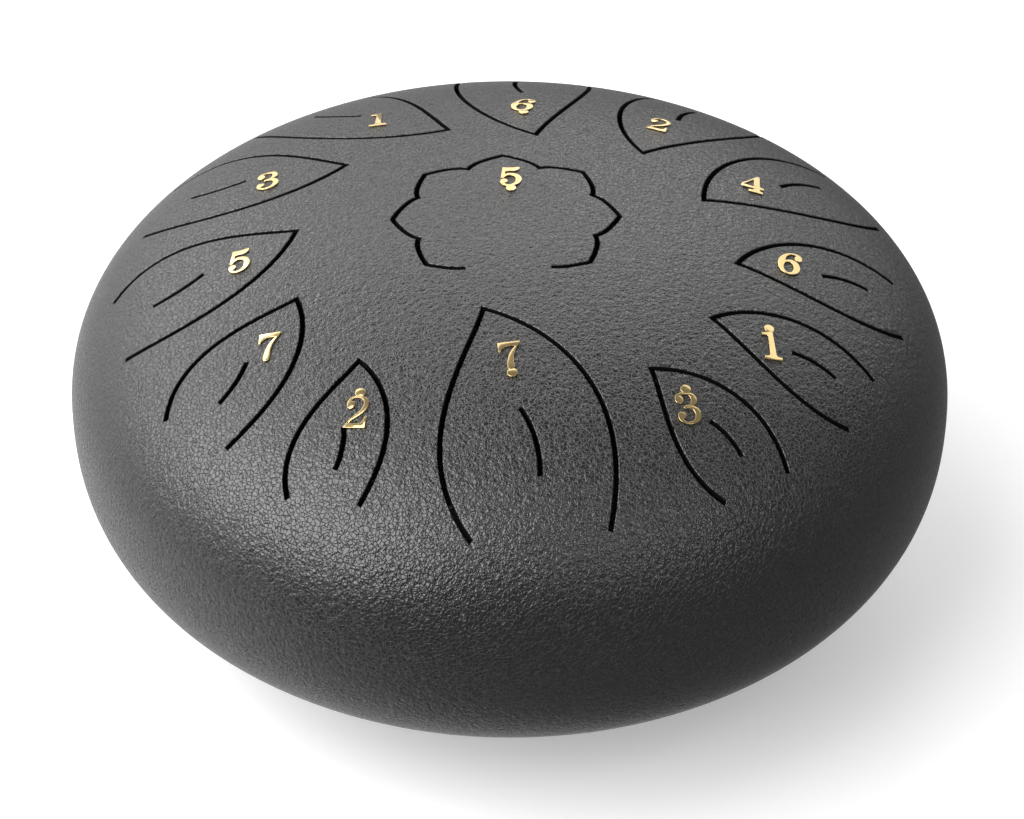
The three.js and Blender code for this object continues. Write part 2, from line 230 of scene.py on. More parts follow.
def plated_brass():
    material, tree, shader = new_material("plated_brass", roughness=0.24, metallic=1.0)
    place = object_place(tree)
    brushed = node(tree, "ShaderNodeMapping")
    brushed.inputs["Scale"].default_value = (300, 5200, 300)
    tree.links.new(place, brushed.inputs["Vector"])
    grain = noise(tree, brushed.outputs["Vector"], scale=1.0, detail=3.0)
    cloud = noise(tree, place, scale=90.0, detail=1.0)
    tint = ramp(tree, cloud, [(0.3, (0.90, 0.68, 0.32)), (0.7, (0.93, 0.71, 0.35))])
    tree.links.new(tint, shader.inputs["Base Color"])
    tree.links.new(ramp(tree, grain, [(0.3, 0.14), (0.7, 0.2)]), shader.inputs["Roughness"])
    bump(tree, shader, grain, distance=0.0006 * MM)
    return material


brass = plated_brass()

# %% [markdown]
# ### The slit walls
# The walls of a slit are painted nearly black, as painted shade for the dark inside of a narrow
# slit. The painted shade runs down a wall in fine streaks, which a stretched noise makes.

# %% Painted shade on the slit walls


def painted_slit_shade():
    material, tree, shader = new_material("painted_slit_shade", roughness=0.9)
    shader.inputs["Specular IOR Level"].default_value = 0.12
    streaks = node(tree, "ShaderNodeMapping")
    streaks.inputs["Scale"].default_value = (3000, 3000, 300)
    tree.links.new(object_place(tree), streaks.inputs["Vector"])
    wall_streaks = noise(tree, streaks.outputs["Vector"], scale=1.0)
    # The wall is painted nearly black: painted shade for the dark inside of a narrow slit.
    tree.links.new(ramp(tree, wall_streaks, [(0.3, 0.0012), (0.7, 0.004)]), shader.inputs["Base Color"])
    tree.links.new(ramp(tree, wall_streaks, [(0.3, 0.8), (0.7, 0.95)]), shader.inputs["Roughness"])
    bump(tree, shader, wall_streaks, distance=0.02 * MM)
    return material


slit_shade = painted_slit_shade()

# %% Rubber and zinc


def moulded_rubber():
    material, tree, shader = new_material("moulded_rubber", roughness=0.8)
    place = object_place(tree)
    pores = noise(tree, place, scale=1800.0, detail=3.0)
    bloom = noise(tree, place, scale=120.0, detail=3.0)
    tree.links.new(ramp(tree, bloom, [(0.3, 0.012), (0.75, 0.03)]), shader.inputs["Base Color"])
    tree.links.new(ramp(tree, pores, [(0.3, 0.7), (0.7, 0.9)]), shader.inputs["Roughness"])
    bump(tree, shader, pores, distance=0.06 * MM)
    return material


def zinc_plate():
    material, tree, shader = new_material("zinc_plate", roughness=0.35, metallic=1.0)
    place = object_place(tree)
    cloud = noise(tree, place, scale=500.0, detail=3.0)
    tint = ramp(tree, cloud, [(0.3, (0.50, 0.51, 0.52)), (0.7, (0.66, 0.66, 0.64))])
    tree.links.new(tint, shader.inputs["Base Color"])
    tree.links.new(ramp(tree, cloud, [(0.3, 0.28), (0.7, 0.44)]), shader.inputs["Roughness"])
    bump(tree, shader, cloud, distance=0.01 * MM)
    return material


rubber = moulded_rubber()
zinc = zinc_plate()
print("materials:", [m.name for m in (coat, brass, slit_shade, rubber, zinc)])

# %% [markdown]
# ## Making pieces
# Every turned piece is an outline spun about the drum's axis, and a foot is then moved out.
# `turn_outline` spins a closed outline, or one that ends on the axis, and merges the seam and
# the poles.

# %% Helpers for pieces
SHARP_EDGE = math.radians(32)


def finish_piece(name, bm, material, stands_for, cut_face=None):
    """Turns a bmesh into a piece that stands for CAD nodes, smooth except at its sharp edges."""
    if cut_face:
        for face in bm.faces:
            face.material_index = int(cut_face(face))
    for face in bm.faces:
        face.smooth = True
    for edge in bm.edges:
        edge.smooth = len(edge.link_faces) == 2 and edge.calc_face_angle(0) < SHARP_EDGE
    mesh = bpy.data.meshes.new(name)
    bm.to_mesh(mesh)
    bm.free()
    mesh.materials.append(material)
    # The faces that cut_face picks, the slit walls, take the painted slit shade.
    if cut_face:
        mesh.materials.append(slit_shade)
    piece = bpy.data.objects.new(name, mesh)
    bpy.context.collection.objects.link(piece)
    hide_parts(*stands_for)
    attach(piece, "root")
    print(name, "-", len(mesh.polygons), "faces")


def turn_outline(points, steps, closed):
    """A bmesh of an outline of (radius, height) points spun right round the drum's axis."""
    bm = bmesh.new()
    verts = [bm.verts.new((radius, 0, height)) for radius, height in points]
    pairs = list(zip(verts, verts[1:] + verts[:1])) if closed else list(zip(verts, verts[1:]))
    edges = [bm.edges.new(pair) for pair in pairs]
    bmesh.ops.spin(
        bm, geom=verts + edges, cent=(0, 0, 0), axis=(0, 0, 1), angle=TURN, steps=steps,
        use_merge=True)
    bmesh.ops.remove_doubles(bm, verts=bm.verts, dist=1e-6)
    bmesh.ops.recalc_face_normals(bm, faces=bm.faces)
    return bm


def carve(bm, cutter, operation="DIFFERENCE"):
    """Cuts a closed bmesh with another, or joins them, and returns the result as a bmesh."""
    parts = []
    for label, source in (("body", bm), ("cutter", cutter)):
        mesh = bpy.data.meshes.new(label)
        source.to_mesh(mesh)
        source.free()
        parts.append(bpy.data.objects.new(label, mesh))
        bpy.context.collection.objects.link(parts[-1])
    body, tool = parts
    cut = body.modifiers.new("cut", "BOOLEAN")
    cut.operation = operation
    cut.solver = "EXACT"
    cut.use_self = True
    cut.object = tool
    graph = bpy.context.evaluated_depsgraph_get()
    result = bmesh.new()
    result.from_mesh(body.evaluated_get(graph).to_mesh())
    for part in parts:
        bpy.data.objects.remove(part)
    return result


# %% [markdown]
# ## The top bowl
# Seen from the side the bowl is a superellipse: flatter on top than a ball and fuller at the
# shoulder. The outer and inner curves make one closed outline, which is spun.

# %% The bowl's curve
AROUND = 216
BOWL_STEPS = 60
INNER_STEPS = 24


def bowl_curve(radius, rise, roundness, edge, steps):
    """Points from the height `edge` above the waist, along a superellipse, to its pole."""
    first = math.asin((edge / rise) ** (roundness / 2))
    points = []
    for i in range(steps + 1):
        angle = first + (math.pi / 2 - first) * i / steps
        across = 0 if i == steps else radius * math.cos(angle) ** (2 / roundness)
        points.append((across, rise * math.sin(angle) ** (2 / roundness)))
    return points


def dome_height(x, y):
    """Height of the top bowl's outer face over a point of the plan."""
    share = min(math.hypot(x, y) / WAIST_RADIUS, 1)
    return WAIST_Z + TOP_RISE * (1 - share ** TOP_ROUNDNESS) ** (1 / TOP_ROUNDNESS)


def top_bowl_blank():
    outside = bowl_curve(WAIST_RADIUS, TOP_RISE, TOP_ROUNDNESS, WELD_HALF, BOWL_STEPS)
    inside = bowl_curve(
        WAIST_RADIUS - SHEET, TOP_RISE - SHEET, TOP_ROUNDNESS, WELD_HALF, INNER_STEPS)
    outline = [(r, WAIST_Z + z) for r, z in outside[::-1] + inside]
    return turn_outline(outline, AROUND, closed=False)


blank = top_bowl_blank()
print("top bowl blank:", len(blank.faces), "faces")

# %% [markdown]
# ### The slits
# A laser cuts round each tongue. All twelve leaf tongues are one leaf, scaled to its length and
# placed with its point at a radius and azimuth; the middle tongue is a lotus of pointed lobes
# whose front lobe is left uncut, as its root. Each slit is first a line in the plan.

# %% Lines of the slits
ROOT_RADIUS = 134 * MM
SHOULDER_RADIUS = 146 * MM
LEAF_LEFT = [(0, 0), (0.337, 0.09), (0.637, 0.432), (0.594, 0.904)]
LEAF_RIGHT = [(0, 0), (-0.021, 0.29), (-0.207, 0.778), (0.09, 1.029)]
LEAF_VEIN = [(0.205, 0.5), (0.268, 0.583), (0.305, 0.675), (0.315, 0.775)]
LEAF_STEPS = 40
VEIN_STEPS = 10
# radius of the point in mm, its azimuth, how wide the leaf is, how far it leans clockwise
TONGUES = {
    "7 low": (52.3, -101.3, 1.05, -2.1),
    "3 high": (88.3, -60.3, 1.1, 7.3),
    "1 high": (82.8, -37.9, 0.95, 0.8),
    "6": (78.7, -15.3, 0.95, -2),
    "4": (68.6, 12.4, 0.97, -2.1),
    "2": (64.8, 42.6, 0.97, -2.8),
    "6 low": (55.7, 79.1, 0.94, 5.7),
    "1": (63.4, 108.3, 0.99, -14.2),
    "3": (68.6, 144.5, 1.04, -7.2),
    "5": (72.7, 179.5, 1.1, 2.6),
    "7": (81.1, -152.7, 1.05, -5.2),
    "2 high": (87.2, -126, 1, -2.3),
}


def turned(point, degrees):
    angle = math.radians(degrees)
    x, y = point
    return (x * math.cos(angle) - y * math.sin(angle), x * math.sin(angle) + y * math.cos(angle))


def bezier(controls, steps):
    """Points of a cubic curve."""
    points = []
    for i in range(steps + 1):
        t = i / steps
        shares = ((1 - t) ** 3, 3 * t * (1 - t) ** 2, 3 * t * t * (1 - t), t ** 3)
        points.append(tuple(sum(s * c[k] for s, c in zip(shares, controls)) for k in (0, 1)))
    return points


def on_drum(points, tongue):
    """Places points of the one-unit leaf on the plan of the drum."""
    radius, azimuth, width, lean = tongue
    length = ROOT_RADIUS - radius * MM
    placed = []
    for x, y in points:
        across, along = turned((x * length * width, y * length), lean)
        placed.append(turned((radius * MM + along, across), azimuth))
    return placed


def leaf_lines(tongue):
    outline = bezier(LEAF_LEFT, LEAF_STEPS)[::-1] + bezier(LEAF_RIGHT, LEAF_STEPS)[1:]
    return [on_drum(outline, tongue), on_drum(bezier(LEAF_VEIN, VEIN_STEPS), tongue)]


# %% Line of the lotus
LOTUS_LOBES = 8
LOTUS_TIP = 38.6 * MM
LOTUS_BELLY = 35.75 * MM
LOTUS_BELLY_ANGLE = 16.9
LOTUS_NOTCH = 32.2 * MM
LOTUS_SHIFT = -1.4 * MM
LOTUS_LAST_ARC = 0.8
LOBE_STEPS = 8


def half_lobe(middle, side, share):
    """One arc of the lotus, from near its notch up to its tip."""
    pitch = 180 / LOTUS_LOBES
    notch = turned((LOTUS_NOTCH, 0), middle + side * pitch)
    belly = turned((LOTUS_BELLY, 0), middle + side * LOTUS_BELLY_ANGLE)
    tip = turned((LOTUS_TIP, 0), middle)
    points = []
    for i in range(LOBE_STEPS + 1):
        t = 1 - share * (1 - i / LOBE_STEPS)
        shares = ((1 - t) ** 2, 2 * t * (1 - t), t * t)
        ends = (notch, belly, tip)
        points.append(tuple(sum(s * c[k] for s, c in zip(shares, ends)) for k in (0, 1)))
    return points


def lotus_line():
    line = []
    for lobe in range(1, LOTUS_LOBES):
        middle = -90 + lobe * 360 / LOTUS_LOBES
        rising = half_lobe(middle, -1, LOTUS_LAST_ARC if lobe == 1 else 1)
        falling = half_lobe(middle, 1, LOTUS_LAST_ARC if lobe == LOTUS_LOBES - 1 else 1)[::-1]
        line += rising[(0 if lobe == 1 else 1):] + falling[1:]
    return [(x + LOTUS_SHIFT, y) for x, y in line]


slit_lines = [line for tongue in TONGUES.values() for line in leaf_lines(tongue)] + [lotus_line()]
print("slits:", len(slit_lines))

# %% [markdown]
# ### Cutting them
# The cutter for a slit is a strip along its line, extruded upwards in three lifts: straight
# through the sheet, then flaring open just under the surface. The flare breaks the slit's edge,
# and that small bevel is what catches the light.

# %% Slit cutters
KERF = 1.7 * MM
EDGE_BREAK = 0.22 * MM


def edge_points(line, half, extra):
    """Both edges of a strip along a line, mitred at its corners and lengthened by extra."""
    points = [Vector(p) for p in line]
    points[0] -= (points[1] - points[0]).normalized() * extra
    points[-1] += (points[-1] - points[-2]).normalized() * extra
    edges = ([], [])
    last = len(points) - 1
    for i, point in enumerate(points):
        into = (point - points[i - 1]) if i else (points[1] - point)
        out = (points[i + 1] - point) if i < last else into
        along = (into.normalized() + out.normalized()).normalized()
        reach = half / along.dot(out.normalized())
        normal = Vector((-along.y, along.x))
        edges[0].append(point + normal * reach)
        edges[1].append(point - normal * reach)
    return edges


def add_slit_cutter(bm, line):
    """Adds one closed strip, lofted upwards through its widening edges."""
    below = -SHEET * 4
    lifts = [(0, below), (0, -EDGE_BREAK), (2 * EDGE_BREAK, EDGE_BREAK), (2 * EDGE_BREAK, SHEET)]
    count = len(line)
    strip = None
    for wider, height in lifts:
        left, right = edge_points(line, KERF / 2 + wider, wider)
        places = [Vector((p.x, p.y, dome_height(p.x, p.y) + height)) for p in left + right]
        if strip is None:
            verts = [bm.verts.new(place) for place in places]
            strip = [
                bm.faces.new((verts[i], verts[i + 1], verts[count + i + 1], verts[count + i]))
                for i in range(count - 1)]
            rank = {vert: i for i, vert in enumerate(verts)}
        else:
            rims = list(dict.fromkeys(edge for face in strip for edge in face.edges))
            lifted = bmesh.ops.extrude_face_region(bm, geom=strip + rims)
            raised = [item for item in lifted["geom"] if isinstance(item, bmesh.types.BMVert)]
            strip = [item for item in lifted["geom"] if isinstance(item, bmesh.types.BMFace)]
            old = {tuple(round(c, 7) for c in vert.co): i for vert, i in rank.items()}
            rank = {vert: old[tuple(round(c, 7) for c in vert.co)] for vert in raised}
            for vert, i in rank.items():
                vert.co = places[i]


def slit_cutters():
    bm = bmesh.new()
    for line in slit_lines:
        add_slit_cutter(bm, line)
    bmesh.ops.recalc_face_normals(bm, faces=bm.faces)
    return bm


def is_slit_wall(face):
    """True for the upright walls that the laser left, well inside the bowl's shoulder."""
    middle = face.calc_center_median()
    return abs(face.normal.z) < 0.3 and math.hypot(middle.x, middle.y) < SHOULDER_RADIUS


# The slit walls get the painted slit shade.
finish_piece(
    "top_bowl", carve(blank, slit_cutters()), coat, ["top_shell"],
    cut_face=is_slit_wall)

# %% [markdown]
# ## The bottom bowl and the waist
# The lower bowl is a deeper superellipse that bends into a flat base with a round sound hole.
# The weld between the bowls is ground flush before coating, so it shows as nothing at all.

# %% Bottom bowl
BASE_BEND_RADIUS = 88 * MM
BASE_FLAT_RADIUS = 68 * MM
SOUND_HOLE_RADIUS = 30 * MM
BEND_STEPS = 8
BOLT_HOLE_RADIUS = 2.3 * MM
FEET = 3
FOOT_CIRCLE = 56 * MM


def lower_curve(inset, steps):
    """(radius, drop) points down the wall, through the bend, to the rim of the sound hole."""
    drop = BOTTOM_DROP - inset
    base = (WAIST_Z - BASE_Z) - inset
    wall = bowl_curve(WAIST_RADIUS - inset, drop, BOTTOM_ROUNDNESS, WELD_HALF, steps)
    wall = [p for p in wall if p[0] > BASE_BEND_RADIUS]
    (r0, z0), (r1, z1) = wall[-2:]
    slope = (z1 - z0) / (r1 - r0)
    corner = (r1 + (base - z1) / slope, base)
    bend = []
    for i in range(1, BEND_STEPS + 1):
        t = i / BEND_STEPS
        shares = ((1 - t) ** 2, 2 * t * (1 - t), t * t)
        ends = ((r1, z1), corner, (BASE_FLAT_RADIUS, base))
        bend.append(tuple(sum(s * c[k] for s, c in zip(shares, ends)) for k in (0, 1)))
    return wall + bend


def bottom_outline():
    outside = lower_curve(0, BOWL_STEPS)
    inside = lower_curve(SHEET, INNER_STEPS)
    base = WAIST_Z - BASE_Z
    lip = [
        (SOUND_HOLE_RADIUS + SHEET / 2 * (1 + math.sin(a)), base - SHEET / 2 * (1 - math.cos(a)))
        for a in (math.radians(-15 * k) for k in range(13))]
    return [(r, WAIST_Z - z) for r, z in outside + lip + inside[::-1]]


def foot_place(i):
    return turned((FOOT_CIRCLE, 0), -90 + 360 * i / FEET)


def bolt_hole_cutters():
    bm = bmesh.new()
    for i in range(FEET):
        x, y = foot_place(i)
        bmesh.ops.create_cone(
            bm, cap_ends=True, segments=48, radius1=BOLT_HOLE_RADIUS, radius2=BOLT_HOLE_RADIUS,
            depth=4 * SHEET, matrix=Matrix.Translation((x, y, BASE_Z + SHEET / 2)))
    return bm


bottom_blank = turn_outline(bottom_outline(), AROUND, closed=True)
finish_piece(
    "bottom_bowl", carve(bottom_blank, bolt_hole_cutters()), coat, ["bottom_shell"])

# %% Waist weld
WELD_BEAD = 0.8 * MM
WELD_STEPS = 6


def weld_outline():
    half = [i / WELD_STEPS for i in range(-WELD_STEPS, WELD_STEPS + 1)]
    outside = [(WAIST_RADIUS, WAIST_Z + WELD_HALF * s) for s in half]
    inside = [
        (WAIST_RADIUS - SHEET - WELD_BEAD * math.cos(s * math.pi / 2), WAIST_Z + WELD_HALF * s)
        for s in reversed(half)]
    return outside + inside


finish_piece(
    "waist_weld_ring", turn_outline(weld_outline(), AROUND, closed=True), coat,
    ["waist_weld"])

# %% [markdown]
# ## The brass numerals
# Each numeral is stamped from thin plate, so its rim is rounded over and its face is flat. Each
# digit is one closed curve, drawn one unit high: S points are smooth and C points are corners.
# Blender fills the curve, thickens it and rounds its rim, and only then is it made a mesh.

# %% Outlines of the digits


def S(x, y):
    return (x, y, "AUTO")


def C(x, y):
    return (x, y, "VECTOR")


DIGITS = {
    "1": [[
        C(0.08, 0.5), C(0.09, -0.33), C(0.12, -0.38), C(0.25, -0.4), C(0.25, -0.5), C(-0.26, -0.5),
        C(-0.25, -0.41), C(-0.13, -0.38), C(-0.09, -0.33), C(-0.07, 0.32), C(-0.09, 0.35),
        C(-0.24, 0.35), C(-0.24, 0.42), S(-0.11, 0.45), C(0, 0.48)]],
    "2": [[
        S(-0.29, 0.22), S(-0.26, 0.37), S(-0.16, 0.46), S(-0.02, 0.5), S(0.13, 0.47), S(0.25, 0.39),
        S(0.29, 0.25), S(0.26, 0.1), S(0.17, -0.04), S(0.01, -0.19), S(-0.1, -0.28),
        C(-0.15, -0.36), S(0.11, -0.36), S(0.19, -0.3), C(0.23, -0.16), C(0.29, -0.14),
        C(0.29, -0.5), C(-0.29, -0.5),
        S(-0.26, -0.43), S(-0.19, -0.3), S(-0.04, -0.12), S(0.08, 0.02), S(0.14, 0.14),
        S(0.155, 0.24), S(0.11, 0.38), S(-0.02, 0.44), S(-0.14, 0.41), C(-0.21, 0.33),
        S(-0.13, 0.31), S(-0.08, 0.22), S(-0.1, 0.14), S(-0.18, 0.08), S(-0.26, 0.12)]],
    "3": [[
        S(-0.33, 0.25), S(-0.3, 0.39), S(-0.18, 0.48), S(-0.02, 0.5), S(0.15, 0.47), S(0.24, 0.36),
        S(0.26, 0.25), S(0.22, 0.14), C(0.13, 0.08), S(0.24, 0.02), S(0.32, -0.09), S(0.33, -0.2),
        S(0.28, -0.36), S(0.15, -0.46), S(0.01, -0.5), S(-0.16, -0.47), S(-0.28, -0.37),
        S(-0.3, -0.25), S(-0.27, -0.16), S(-0.19, -0.13), S(-0.11, -0.16), S(-0.08, -0.23),
        S(-0.12, -0.31), C(-0.19, -0.35), S(-0.12, -0.41), S(-0.02, -0.43), S(0.09, -0.39),
        S(0.15, -0.3), S(0.17, -0.19), S(0.14, -0.08), S(0.08, -0.02), S(-0.03, -0.01),
        S(-0.1, -0.02), S(-0.12, 0.01), S(-0.09, 0.06), S(-0.01, 0.08), S(0.05, 0.11),
        S(0.09, 0.19), S(0.1, 0.28), S(0.07, 0.38), S(-0.01, 0.43), S(-0.12, 0.43),
        C(-0.19, 0.39), S(-0.14, 0.35), S(-0.11, 0.27), S(-0.12, 0.18), S(-0.21, 0.13),
        S(-0.3, 0.17)]],
    "4": [[
        S(0.13, 0.5), S(0.18, 0.5), C(0.21, 0.47), C(0.21, -0.11), S(0.27, -0.14), C(0.33, -0.16),
        C(0.33, -0.27), S(0.27, -0.26), C(0.21, -0.28), C(0.21, -0.36), C(0.3, -0.4), C(0.3, -0.5),
        C(-0.12, -0.5), C(-0.12, -0.4), C(0.03, -0.36), C(0.03, -0.27), S(-0.28, -0.27),
        S(-0.33, -0.24), S(-0.33, -0.16), S(-0.13, 0.13), S(0.07, 0.42)],
        [C(0.03, 0.28), C(-0.27, -0.15), C(0.03, -0.15)]],
    "5": [[
        C(-0.23, 0.49), S(-0.13, 0.47), S(0.02, 0.47), S(0.12, 0.48), S(0.21, 0.5), C(0.24, 0.5),
        S(0.25, 0.43), S(0.19, 0.34), S(0.11, 0.29), S(-0.03, 0.28), S(-0.1, 0.27), C(-0.15, 0.26),
        C(-0.16, 0.12), S(-0.08, 0.165), S(0.03, 0.17), S(0.18, 0.12), S(0.27, 0), S(0.3, -0.13),
        S(0.27, -0.28), S(0.18, -0.41), S(0.03, -0.49), S(-0.08, -0.5), S(-0.2, -0.46),
        S(-0.28, -0.36), S(-0.3, -0.26), S(-0.27, -0.17), S(-0.19, -0.13), S(-0.12, -0.16),
        S(-0.09, -0.23), S(-0.11, -0.3), C(-0.18, -0.35), S(-0.13, -0.41), S(-0.04, -0.43),
        S(0.04, -0.39), S(0.11, -0.29), S(0.13, -0.15), S(0.12, -0.04), S(0.05, 0.04),
        S(-0.04, 0.06), S(-0.11, 0.03), S(-0.17, -0.04), C(-0.2, -0.09), C(-0.28, -0.09)]],
    "6": [[
        S(0.36, 0.32), S(0.34, 0.42), S(0.26, 0.48), S(0.15, 0.5), S(0, 0.46), S(-0.15, 0.36),
        S(-0.28, 0.2), S(-0.35, 0.01), S(-0.36, -0.14), S(-0.33, -0.32), S(-0.22, -0.45),
        S(-0.06, -0.5), S(0.09, -0.46), S(0.22, -0.34), S(0.28, -0.17), S(0.27, -0.03),
        S(0.22, 0.09), S(0.12, 0.16), S(0.01, 0.165), S(-0.07, 0.14), C(-0.13, 0.09),
        S(-0.12, 0.19), S(-0.07, 0.3), S(0.01, 0.39), S(0.11, 0.43), C(0.2, 0.4), S(0.15, 0.33),
        S(0.15, 0.24), S(0.21, 0.18), S(0.3, 0.18), S(0.35, 0.23)],
        [S(-0.02, 0.05), S(-0.11, 0.02), S(-0.17, -0.08), S(-0.2, -0.2), S(-0.18, -0.34),
         S(-0.12, -0.42), S(-0.05, -0.42), S(0.03, -0.36), S(0.08, -0.23), S(0.09, -0.11),
         S(0.06, 0)]],
    "7": [[
        C(-0.3, 0.46), S(-0.08, 0.475), S(0.12, 0.485), C(0.3, 0.5), S(0.29, 0.43), S(0.22, 0.3),
        S(0.15, 0.15), S(0.1, -0.02), S(0.08, -0.18), S(0.08, -0.37), S(0.07, -0.45), S(0, -0.5),
        S(-0.06, -0.49), S(-0.1, -0.43), S(-0.1, -0.32), S(-0.08, -0.18), S(-0.04, -0.03),
        S(0.01, 0.1), S(0.09, 0.23), C(0.16, 0.32), S(0.01, 0.33), S(-0.1, 0.3), S(-0.17, 0.24),
        S(-0.22, 0.18), C(-0.23, 0.12), C(-0.29, 0.12)]],
}
print("digits drawn:", " ".join(DIGITS))

# %% A numeral lying flat
DIGIT_HEIGHT = 12.4 * MM
DIGIT_THICKNESS = 0.4 * MM
DIGIT_LIFT = 0.15 * MM
RIM = 0.12 * MM
DOT_RADIUS = 1.75 * MM
DOT_DROP = 7.5 * MM


def curve_solid(outlines):
    """A closed bmesh of a filled curve, one unit high, with both its rims rounded."""
    rim = RIM / DIGIT_HEIGHT
    curve = bpy.data.curves.new("stamping", "CURVE")
    curve.dimensions, curve.fill_mode = "2D", "BOTH"
    curve.resolution_u = 5
    curve.extrude = DIGIT_THICKNESS / DIGIT_HEIGHT / 2 - rim
    curve.bevel_depth, curve.bevel_resolution, curve.offset = rim, 2, -rim
    for outline in outlines:
        spline = curve.splines.new("BEZIER")
        spline.bezier_points.add(len(outline) - 1)
        spline.use_cyclic_u = True
        for point, (x, y, kind) in zip(spline.bezier_points, outline):
            point.co = (x, y, 0)
            point.handle_left_type = point.handle_right_type = kind
    flat = bpy.data.objects.new("stamping", curve)
    bpy.context.collection.objects.link(flat)
    graph = bpy.context.evaluated_depsgraph_get()
    bm = bmesh.new()
    bm.from_mesh(flat.evaluated_get(graph).to_mesh())
    bpy.data.objects.remove(flat)
    bmesh.ops.remove_doubles(bm, verts=bm.verts, dist=1e-5)
    bmesh.ops.recalc_face_normals(bm, faces=bm.faces)
    return bm


def dot_outline(height):
    radius = DOT_RADIUS / DIGIT_HEIGHT
    places = [turned((radius, 0), 360 * k / 12) for k in range(12)]
    return [S(x, y + height) for x, y in places]


def numeral_solid(note):
    digit, _, octave = note.partition(" ")
    bm = curve_solid(DIGITS[digit])
    if octave:
        side = 1 if octave == "high" else -1
        bm = carve(bm, curve_solid([dot_outline(side * DOT_DROP / DIGIT_HEIGHT)]), "UNION")
    return bm


# %% [markdown]
# The numeral is then scaled and laid on the bowl. A flat plate would stand off the dome at its
# ends, so every point takes the dome's own height under it, and the plate bends to the steel.

# %% Numerals on the drum
# x and y of the digit's centre in mm, and how far it is turned anticlockwise
NUMERALS = {
    "5 low": (0.8, 23.3, -1),
    "6 low": (6.9, 80.7, -1),
    "2": (54.8, 69.7, -16),
    "4": (85.1, 31.6, -5),
    "6": (94.2, -15.3, -2),
    "1 high": (84.6, -58.8, 3),
    "3 high": (55, -90.9, 4),
    "7 low": (-2.1, -73.6, 4),
    "2 high": (-52, -91, -10),
    "7": (-81.1, -57.4, -6),
    "5": (-91.7, -10.8, -2),
    "3": (-83.2, 37.8, -5),
    "1": (-44.7, 74.5, -3),
}


def dome_normal(x, y):
    step = 0.2 * MM
    east = (dome_height(x + step, y) - dome_height(x - step, y)) / (2 * step)
    north = (dome_height(x, y + step) - dome_height(x, y - step)) / (2 * step)
    return Vector((-east, -north, 1)).normalized()


def lay_on_drum(bm, x, y, turn):
    """Moves a flat numeral to its place, bent to the dome."""
    normal = dome_normal(x, y)
    reading = Vector((*turned((1, 0), turn), 0))
    up = normal.cross(reading).normalized()
    right = up.cross(normal)
    for vert in bm.verts:
        across, along, height = vert.co * DIGIT_HEIGHT
        flat = Vector((x, y, 0)) + right * across + up * along
        foot = Vector((flat.x, flat.y, dome_height(flat.x, flat.y)))
        vert.co = foot + normal * (height + DIGIT_THICKNESS / 2 + DIGIT_LIFT)


for note, (x, y, turn) in NUMERALS.items():
    label = note.replace(" ", "_")
    solid = numeral_solid(note)
    lay_on_drum(solid, x * MM, y * MM, turn)
    finish_piece("brass_" + label, solid, brass, ["numeral_" + label])

# %% [markdown]
# ## Feet and fasteners
# Under the base stand three rubber feet, each held by a button-head screw that passes through
# the sheet to a washer and nut inside. Each is spun from its section, and a boolean cuts the
# screw's hexagonal socket and the nut's bore. Their moulded and rolled edges are bevelled last.

# %% Edge rounding
ROUNDED_EDGE = math.radians(35)


def round_edges(bm, width):
    edges = [e for e in bm.edges if e.is_manifold and e.calc_face_angle(0) > ROUNDED_EDGE]
    bmesh.ops.bevel(
        bm, geom=edges, offset=width, segments=3, profile=0.5, affect="EDGES", material=-1,
        offset_type="OFFSET", clamp_overlap=True)
    return bm


def pillar(x, y, radius, bottom, top, segments):
    """A closed bmesh of a prism or round bar standing at x, y."""
    bm = bmesh.new()
    bmesh.ops.create_cone(
        bm, cap_ends=True, segments=segments, radius1=radius, radius2=radius, depth=top - bottom,
        matrix=Matrix.Translation((x, y, (top + bottom) / 2)))
    return bm


# %% Rubber feet
GAP = 0.3 * MM
FOOT_HEIGHT = BASE_Z
FOOT_RADIUS = 11 * MM
FOOT_TOP_RADIUS = 9.5 * MM
RECESS_RADIUS = 4.5 * MM
RECESS_DEPTH = 4 * MM
ROUND_STEPS = 64


def foot_outline():
    top = FOOT_HEIGHT - GAP
    return [
        (BOLT_HOLE_RADIUS, top), (BOLT_HOLE_RADIUS, RECESS_DEPTH), (RECESS_RADIUS, RECESS_DEPTH),
        (RECESS_RADIUS, 0), (FOOT_RADIUS - 1 * MM, 0), (FOOT_RADIUS, 1 * MM),
        (FOOT_TOP_RADIUS, top)]


for i in range(FEET):
    bm = turn_outline(foot_outline(), ROUND_STEPS, closed=True)
    bmesh.ops.translate(bm, verts=bm.verts, vec=(*foot_place(i), 0))
    finish_piece(
        f"rubber_foot_{i + 1}", round_edges(bm, 0.35 * MM), rubber, [f"foot_{i + 1}"])

# %% Screws, washers and nuts
BOLT_RADIUS = 2 * MM
HEAD_RADIUS = 3.6 * MM
HEAD_HEIGHT = 2.4 * MM
SOCKET_RADIUS = 1.4 * MM
SOCKET_DEPTH = 1.3 * MM
WASHER_RADIUS = 4.5 * MM
WASHER_THICKNESS = 0.8 * MM
NUT_RADIUS = 4.04 * MM
NUT_HEIGHT = 3.2 * MM
BOLT_END = 1 * MM
THREAD_PITCH = 0.7 * MM
THREAD_DEPTH = 0.2 * MM
washer_bottom = BASE_Z + SHEET + GAP
nut_bottom = washer_bottom + WASHER_THICKNESS + GAP
bolt_top = nut_bottom + NUT_HEIGHT + BOLT_END
head_top = RECESS_DEPTH - GAP
head_bottom = head_top - HEAD_HEIGHT


